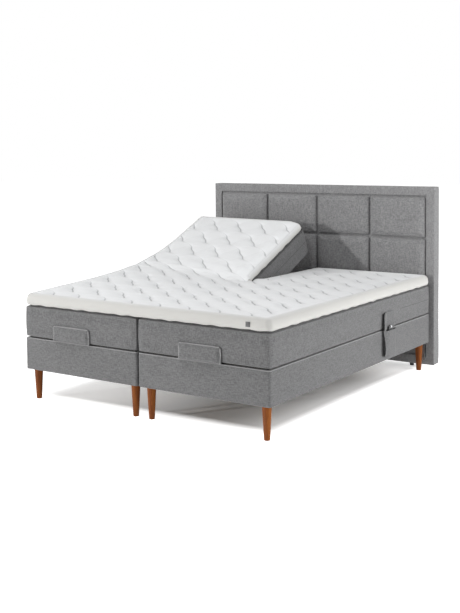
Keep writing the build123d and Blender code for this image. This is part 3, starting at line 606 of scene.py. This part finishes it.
def makeTopper():
    s = topper
    cuts = (s["y"][0], hinges["thighCut"], hinges["seatCut"], s["y"][1])
    parts = (
        # name, x range, y range, bodies, bend, rising to the head end or falling, CAD nodes
        ("topperFoot", s["x"], cuts[0:2], ("left_thigh", "left_calf"), hinges["kneeZone"], -1,
         ("topper_calf",)),
        ("topperMiddle", s["x"], cuts[1:3], ("base", "left_thigh"), hinges["thighZone"], -1,
         ("topper_thigh", "topper_seat")),
        ("topperLeft", (s["x"][0], s["middle"]), cuts[2:4], ("base", "left_back"), hinges["backZone"], 1,
         ("left_topper_back", "topper_bends")),
        ("topperRight", (s["middle"], s["x"][1]), cuts[2:4], ("base", "right_back"), hinges["backZone"], 1,
         ("right_topper_back",)),
    )
    for name, across, along, bodies, zone, rising, nodes in parts:
        form = {**s, "x": across}
        if across != s["x"]:
            form["slitSide"] = 1 if name == "topperLeft" else -1
        piece = finishPiece(name, slabGrid(across, along, s["step"], s["levels"]), "topper_fabric")
        flat = meshPlaces(piece.data)
        places, rim = slabPlaces(flat, form)
        onTop = smoothstep(*s["quiltRim"], rim) * (flat[:, 2] > -1e-6)
        places[:, 2] += onTop * quiltHeight(flat[:, 0], flat[:, 1])
        lowRim = (flat[:, 2] < -0.5) * (1 - smoothstep(0, s["scallopRim"], rim))
        around = 2 * math.pi * (flat[:, 0] + flat[:, 1]) / s["scallopLong"]
        places[:, 2] += lowRim * s["scallop"] * np.sin(around) * (0.6 + 0.4 * np.sin(around * 0.37))
        storeValues(piece.data, "flatPlace", np.stack([flat[:, 0], flat[:, 1], places[:, 2]], 1),
                    "FLOAT_VECTOR", "vector")
        if name == "topperLeft":
            nearSlit = 1 - smoothstep(0, s["sagReach"], np.abs(flat[:, 0]))
            soft = nearSlit * smoothstep(*s["sagFrom"], flat[:, 1])
            places[:, 2] -= s["sag"] * soft * (1 + flat[:, 2])
            rim = rim + s["sagTurn"] * soft
        storeValues(piece.data, "rimDistance", np.where(flat[:, 2] > -1e-6, rim, 0))
        places[:, 2] += bridgeRise(flat[:, 0], flat[:, 1])
        share = smoothstep(*zone, flat[:, 1])
        if name == "topperLeft":
            places = turnAbout(places, hinges["back"], share * math.radians(hinges["leftRaised"]))
        piece.data.vertices.foreach_set("co", places.ravel())
        piece.data.update()
        piece.data.set_sharp_from_angle(angle=math.radians(s["sharpAngle"]))
        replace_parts(piece, *nodes)
        bendBetween(piece, bodies, zone, share, rising)


makeTopper()
print("topper ready")


baseForm = {"y": (-1.09335, 1.00665), "z": (0.192, 0.391), "wall": 0.0275, "corner": 0.016, "edge": 0.005,
            "fold": 0.6}  # how strong the painted highlight along the upper edge is


def makeBase():
    s = baseForm
    bm = bmesh.new()
    for xRange in mattressUnits.values():
        ring = bmesh.new()
        boxAt(ring, (xRange[0], s["y"][0], s["z"][0]), (xRange[1], s["y"][1], s["z"][1]))
        roundEdges(ring, edgesAlong(ring, 2), s["corner"], segments=5)
        rims = [e for f in ring.faces if abs(f.normal.z) > 0.9 for e in f.edges]
        roundEdges(ring, rims, s["edge"], segments=4)
        level = [f for f in ring.faces if abs(f.normal.z) > 0.9999]
        caps = sorted(level, key=lambda f: f.calc_area())[-2:]
        bmesh.ops.inset_individual(ring, faces=caps, thickness=s["wall"] - s["edge"],
                                   use_even_offset=True)
        loops = [e for f in caps for e in f.edges]
        bmesh.ops.delete(ring, geom=caps, context="FACES_ONLY")
        bmesh.ops.bridge_loops(ring, edges=loops)
        holder = bpy.data.meshes.new("ring")
        ring.to_mesh(holder)
        ring.free()
        bm.from_mesh(holder)
        bpy.data.meshes.remove(holder)
    piece = finishPiece("baseUpholstery", bm, "base_fabric", "base", smoothAngle=35)
    z = meshPlaces(piece.data)[:, 2]
    # painted highlight along the base's rounded upper edge
    topEdge = (z > s["z"][1] - s["edge"] * 0.8) & (z < s["z"][1] - 1e-5)
    storeValues(piece.data, "fold", topEdge * s["fold"])
    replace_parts(piece, "base_covers")


makeBase()


legForm = {"xs": (-0.845, -0.059, 0.059, 0.845), "ys": (-1.03835, 0.95165), "steps": 48,
           # radius and height
           "profile": ((0.0, 0.0), (0.0140, 0.0), (0.0163, 0.0012), (0.0171, 0.004), (0.0221, 0.098),
                       (0.0269, 0.1895), (0.0269, 0.1918), (0.0, 0.1918))}


def makeLegs():
    s = legForm
    bm = bmesh.new()
    for x in s["xs"]:
        for y in s["ys"]:
            dots = [bm.verts.new((x + r, y, z)) for r, z in s["profile"]]
            lines = [bm.edges.new(pair) for pair in zip(dots, dots[1:])]
            bmesh.ops.spin(bm, geom=dots + lines, cent=(x, y, 0), axis=(0, 0, 1), angle=2 * math.pi,
                           steps=s["steps"], use_merge=True)
    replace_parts(finishPiece("woodenLegs", bm, "leg_wood", "base", smoothAngle=35), "legs")


makeLegs()
print("base and legs ready")


def inflate(bm, settings):
    # swells a closed shape whose back is held, and returns a bmesh of the result
    mesh = bpy.data.meshes.new("pad")
    bm.to_mesh(mesh)
    bm.free()
    pad = bpy.data.objects.new("pad", mesh)
    scene.collection.objects.link(pad)
    remesh = pad.modifiers.new("remesh", "REMESH")
    remesh.mode = "VOXEL"
    remesh.voxel_size = settings["voxel"]
    bpy.context.view_layer.update()
    graph = bpy.context.evaluated_depsgraph_get()
    made = bpy.data.meshes.new_from_object(pad.evaluated_get(graph))
    pad.modifiers.clear()
    pad.data = made
    start = meshPlaces(made)
    held = pad.vertex_groups.new(name="held")
    back = start[:, 1].max() - settings["heldDepth"]
    held.add([int(i) for i in np.nonzero(start[:, 1] > back)[0]], 1.0, "REPLACE")
    cloth = pad.modifiers.new("cloth", "CLOTH")
    cloth.settings.use_pressure = True
    cloth.settings.uniform_pressure_force = settings["pressure"]
    cloth.settings.vertex_group_mass = "held"
    cloth.settings.effector_weights.gravity = 0
    cloth.point_cache.frame_end = settings["frames"]
    for step in range(1, settings["frames"] + 1):
        scene.frame_set(step)
    graph = bpy.context.evaluated_depsgraph_get()
    swollen = bpy.data.meshes.new_from_object(pad.evaluated_get(graph))
    move = meshPlaces(swollen) - start
    bpy.data.meshes.remove(swollen)
    length = np.maximum(np.linalg.norm(move, axis=1, keepdims=True), 1e-9)
    move *= np.minimum(1, settings["cap"] / length)
    made.vertices.foreach_set("co", (start + move).ravel())
    scene.frame_set(1)
    bpy.data.objects.remove(pad)
    result = bmesh.new()
    result.from_mesh(made)
    bpy.data.meshes.remove(made)
    return result


tileForm = {"columns": 4, "rows": 2, "gap": 0.0050, "thick": 0.0195, "corner": 0.014, "edge": 0.012,
            "clear": 0.0002,  # between the tiles and the panel
            "voxel": 0.005, "pressure": 4, "cap": 0.005, "frames": 20, "heldDepth": 0.006}


def makeTiles():
    s = tileForm
    low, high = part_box("headboard_tiles")
    wide, tall = (high.x - low.x) / s["columns"], (high.z - low.z) / s["rows"]
    seed = bmesh.new()
    boxAt(seed, (-wide / 2 + s["gap"], -s["thick"], -tall / 2 + s["gap"]),
          (wide / 2 - s["gap"], 0, tall / 2 - s["gap"]))
    roundEdges(seed, edgesAlong(seed, 1), s["corner"], segments=3)
    front = min(seed.faces, key=lambda f: f.calc_center_median().y)
    roundEdges(seed, list(front.edges), s["edge"], segments=4)
    tile = inflate(seed, s)
    for v in tile.verts:
        v.co.y = min(v.co.y, 0)
    holder = bpy.data.meshes.new("tile")
    tile.to_mesh(holder)
    tile.free()
    bm = bmesh.new()
    for row in range(s["rows"]):
        for column in range(s["columns"]):
            before = len(bm.verts)
            bm.from_mesh(holder)
            bm.verts.ensure_lookup_table()
            bmesh.ops.translate(bm, verts=bm.verts[before:], vec=(
                low.x + (column + 0.5) * wide, high.y - s["clear"], low.z + (row + 0.5) * tall))
    bpy.data.meshes.remove(holder)
    piece = finishPiece("headboardTiles", bm, "headboard_fabric", "base", smoothAngle=60, merge=False)
    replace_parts(piece, "headboard_tiles")


panelForm = {"border": 0.061, "groove": 0.0005, "proud": 0.011, "edge": 0.009, "innerEdge": 0.004,
             "sharpTurn": 1, "rearBand": 0.001}  # the outline: edges that turn by a radian, at the rear


def makePanel():
    s = panelForm
    low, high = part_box("headboard_panel")
    low.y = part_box("headboard_tiles")[1].y
    bm = bmesh.new()
    boxAt(bm, low, high)
    front = min(bm.faces, key=lambda f: f.calc_center_median().y)
    ring = bmesh.ops.inset_region(bm, faces=[front], thickness=s["border"],
                                  use_even_offset=True)["faces"]
    bmesh.ops.inset_region(bm, faces=[front], thickness=s["groove"], use_even_offset=True)
    lifted = bmesh.ops.extrude_face_region(bm, geom=ring)["geom"]
    bmesh.ops.delete(bm, geom=[f for f in ring if f.is_valid], context="FACES_ONLY")
    bmesh.ops.translate(bm, vec=(0, -s["proud"], 0), verts=vertsOf(lifted))
    proudFaces = [g for g in lifted if isinstance(g, bmesh.types.BMFace)]
    inner = [e for f in proudFaces for e in f.edges if len(e.link_faces) == 2
             and any(abs(o.normal.y) < 0.5 for o in e.link_faces)]
    outline = [e for e in bm.edges if len(e.link_faces) == 2 and e.calc_face_angle(0) > s["sharpTurn"]
               and e not in inner and max(v.co.y for v in e.verts) > high.y - s["rearBand"]]
    roundEdges(bm, list(set(inner)), s["innerEdge"], segments=3)
    roundEdges(bm, [e for e in outline if e.is_valid], s["edge"], segments=4)
    piece = finishPiece("headboardPanel", bm, "headboard_fabric", "base", smoothAngle=35)
    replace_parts(piece, "headboard_panel")


makePanel()
makeTiles()
print("headboard ready")


retainerForm = {"thick": 0.017, "corner": 0.016, "edge": 0.004, "gap": 0.0005, "inset": 0.003,
                "voxel": 0.004, "pressure": 4, "cap": 0.006, "frames": 20, "heldDepth": 0.003,
                # how strong the painted highlight along the edge is, how far in, and from which share of the
                # thickness
                "fold": 0.9, "highlightRim": (0.004, 0.010), "highlightDepth": 0.55}


def makeFootRetainers():
    s = retainerForm
    for unit in units:
        low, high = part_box(f"{unit}_foot_retainer")
        back = mattress["y"][0] - s["gap"]
        seed = bmesh.new()
        boxAt(seed, (low.x + s["inset"], back - s["thick"], low.z),
              (high.x - s["inset"], back, high.z - s["inset"]))
        upper = [e for e in edgesAlong(seed, 1) if e.verts[0].co.z > (low.z + high.z) / 2]
        roundEdges(seed, upper, s["corner"], segments=5)
        front = min(seed.faces, key=lambda f: f.calc_center_median().y)
        roundEdges(seed, list(front.edges), s["edge"], segments=3)
        bm = inflate(seed, s)
        for v in bm.verts:
            v.co.y = min(max(v.co.y, low.y), back)
        piece = finishPiece(f"{unit}FootRetainer", bm, "mattress_fabric", f"{unit}_calf",
                            smoothAngle=60, merge=False)
        places = meshPlaces(piece.data)
        storeValues(piece.data, "flatPlace", places, "FLOAT_VECTOR", "vector")
        x, y, z = places.T
        # painted highlight along the retainer's top and side rims, on its front
        fromRim = np.minimum(np.minimum(x - low.x, high.x - x), high.z - z)
        inFront = y < back - s["thick"] * s["highlightDepth"]
        storeValues(piece.data, "fold", inFront * s["fold"] * (1 - smoothstep(*s["highlightRim"], fromRim)))
        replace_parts(piece, f"{unit}_foot_retainer")


makeFootRetainers()
print("foot retainers ready")


sidePadForm = {"back": 0.9003, "y": (0.24165, 0.42165), "z": (0.3925, 0.5035), "thick": 0.008,
               "corner": 0.010, "edge": 0.003, "strips": 16,
               "flare": 0.018, "flareEnd": 0.309}  # the free edge stands off the mattress


def makeSidePads():
    s = sidePadForm
    for unit, side in zip(units, (-1, 1)):
        bm = bmesh.new()
        boxAt(bm, (s["back"], s["y"][0], s["z"][0]), (s["back"] + s["thick"], s["y"][1], s["z"][1]))
        upper = [e for e in edgesAlong(bm, 0) if e.verts[0].co.z > sum(s["z"]) / 2]
        roundEdges(bm, upper, s["corner"], segments=4)
        face = max(bm.faces, key=lambda f: f.calc_center_median().x)
        roundEdges(bm, list(face.edges), s["edge"], segments=3)
        for cut in range(1, s["strips"]):
            place = s["y"][0] + (s["y"][1] - s["y"][0]) * cut / s["strips"]
            bmesh.ops.bisect_plane(bm, geom=bm.verts[:] + bm.edges[:] + bm.faces[:],
                                   plane_co=(0, place, 0), plane_no=(0, 1, 0))
        for v in bm.verts:
            v.co.x += s["flare"] * (1 - smoothstep(s["y"][0], s["flareEnd"], v.co.y))
        if side < 0:
            bmesh.ops.scale(bm, vec=(-1, 1, 1), verts=bm.verts)
            turn = Matrix.Rotation(math.radians(hinges["leftRaised"]), 3, "X")
            bmesh.ops.rotate(bm, cent=(0, *hinges["back"]), matrix=turn, verts=bm.verts)
        piece = finishPiece(f"{unit}SidePad", bm, "mattress_fabric", f"{unit}_back", smoothAngle=35)
        storeValues(piece.data, "flatPlace", meshPlaces(piece.data), "FLOAT_VECTOR", "vector")
        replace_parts(piece, f"{unit}_side_retainer")


makeSidePads()


pocketForm = {"back": 0.9003, "deep": 0.0285, "wall": 0.0022, "y": (0.25065, 0.42265), "z": (0.225, 0.388),
              "rows": 36, "columns": 40,
              # how far the free edge stands off at heights of the pocket, as a share of the depth
              "heights": (0.0, 0.03, 0.12, 0.35, 0.65, 1.0),
              "standOff": (0.12, 0.75, 0.92, 1.0, 0.78, 0.42),
              "freeZone": (-1.0, -0.35),  # where the free edge passes into the sewn part, across the pocket
              # how the foot and the sewn end close
              "footHigh": 0.03, "footPower": 0.5, "sewnPowers": (5, 0.6),
              "gussetSet": 0.022, "gussetInset": 0.004, "gussetDeep": 0.5}


def makePocket():
    s = pocketForm
    bm = bmesh.new()
    bmesh.ops.create_grid(bm, x_segments=s["columns"], y_segments=s["rows"], size=0.5)
    middle, half = sum(s["y"]) / 2, (s["y"][1] - s["y"][0]) / 2
    endPower, endRound = s["sewnPowers"]
    for v in bm.verts:
        across, up = v.co.x * 2, v.co.y + 0.5
        free = float(np.interp(up, s["heights"], s["standOff"]))
        foot = min(1, up / s["footHigh"]) ** s["footPower"]
        sewn = (1 - max(across, 0) ** endPower) ** endRound
        share = smoothstep(*s["freeZone"], across)
        stand = free * (1 - share) + foot * sewn * share
        v.co = Vector((s["back"] + s["wall"] + (s["deep"] - s["wall"]) * stand,
                       middle + across * half, s["z"][0] + up * (s["z"][1] - s["z"][0])))
    bmesh.ops.recalc_face_normals(bm, faces=bm.faces)
    if bm.faces[:][0].normal.x < 0:
        bmesh.ops.reverse_faces(bm, faces=bm.faces)
    bmesh.ops.solidify(bm, geom=bm.faces[:], thickness=s["wall"])
    gusset = s["y"][0] + s["gussetSet"]
    boxAt(bm, (s["back"], gusset, s["z"][0] + s["gussetInset"]),
          (s["back"] + s["deep"] * s["gussetDeep"], gusset + s["wall"], s["z"][1] - s["gussetInset"]))
    piece = finishPiece("handsetPocket", bm, "base_fabric", "base", smoothAngle=50)
    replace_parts(piece, "handset_pocket")


makePocket()
print("side pads and pocket ready")


capForm = {"low": (0.9095, 0.3400, 0.3985), "high": (0.9206, 0.3601, 0.4141), "edge": 0.0025}
tagForm = {"low": (0.752, -1.0995, 0.6135), "high": (0.780, -1.0970, 0.6415), "edge": 0.0008}


def makeSmallPieces():
    # the light end of the handset, and a plain cloth tag on the topper's foot end
    bm = bmesh.new()
    boxAt(bm, capForm["low"], capForm["high"])
    roundEdges(bm, bm.edges[:], capForm["edge"], segments=3)
    finishPiece("handsetEnd", bm, "grey_plastic", "handset", smoothAngle=35)
    bm = bmesh.new()
    boxAt(bm, tagForm["low"], tagForm["high"])
    roundEdges(bm, bm.edges[:], tagForm["edge"], segments=2)
    tag = finishPiece("plainTag", bm, "base_fabric", "left_calf", smoothAngle=35)


makeSmallPieces()


floorForm = {"size": 60, "bounce": 0.74, "glow": 0.03, "farGlow": 1.0, "near": 1.6, "far": 2.7,
             # the glow grows towards the left, and is white beside, before and behind the bed
             "left": (-1.1, 0.55), "leftGlow": 0.66, "right": (0.70, 0.85), "front": (0.82, 0.97),
             "rear": (0.3, 1.3), "rearGlow": 0.6}


def makeFloor():
    s = floorForm
    bm = bmesh.new()
    bmesh.ops.create_grid(bm, x_segments=2, y_segments=2, size=s["size"] / 2)
    mesh = bpy.data.meshes.new("floor")
    bm.to_mesh(mesh)
    bm.free()
    floor = bpy.data.objects.new("floor", mesh)
    scene.collection.objects.link(floor)
    made, paint, join = startMaterial("floorPaint", {
        "Base Color": (s["bounce"],) * 3 + (1,), "Roughness": 0.9, "Specular IOR Level": 0.1,
        "Emission Strength": 1})[:3]
    x, y = placeOf(paint).axes()[:2]
    away = paint.math("SQRT", x * x + y * y)
    glow = away.ramp(s["near"], s["far"], s["glow"], s["farGlow"])
    for other in (x.ramp(*s["left"], s["leftGlow"], 0.0), x.ramp(*s["right"]),
                  (y * -1).ramp(*s["front"]), y.ramp(*s["rear"], 0.0, s["rearGlow"])):
        glow = paint.math("MAXIMUM", glow, other)
    join(glow.mix((0, 0, 0, 1), (1, 1, 1, 1)), "Emission Color")
    mesh.materials.append(made)


makeFloor()


def dressNodes():
    bySlot = {
        "timber": ("base_boards", "corner_blocks"),
        "plywood": ("seat_decks", "left_back_deck", "right_back_deck", "left_thigh_deck",
                    "right_thigh_deck", "left_calf_deck", "right_calf_deck"),
        "zinc_steel": ("headboard_bars", "leg_bolts", "hinge_pins", "unit_clamps", "left_knee_pins",
                       "right_knee_pins"),
        "drive_plastic": ("drive_housings",),
        "motor_metal": ("drive_motors",),
        "black_plastic": ("headboard_glides", "handset"),
        "grey_plastic": ("raise_key", "lower_key"),
    }
    chosen = {node: slot for slot, nodes in bySlot.items() for node in nodes}
    for name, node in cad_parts.items():
        node.data.materials.clear()
        node.data.materials.append(finishes[chosen.get(name, "dark_steel")])


dressNodes()
print("CAD pieces dressed")
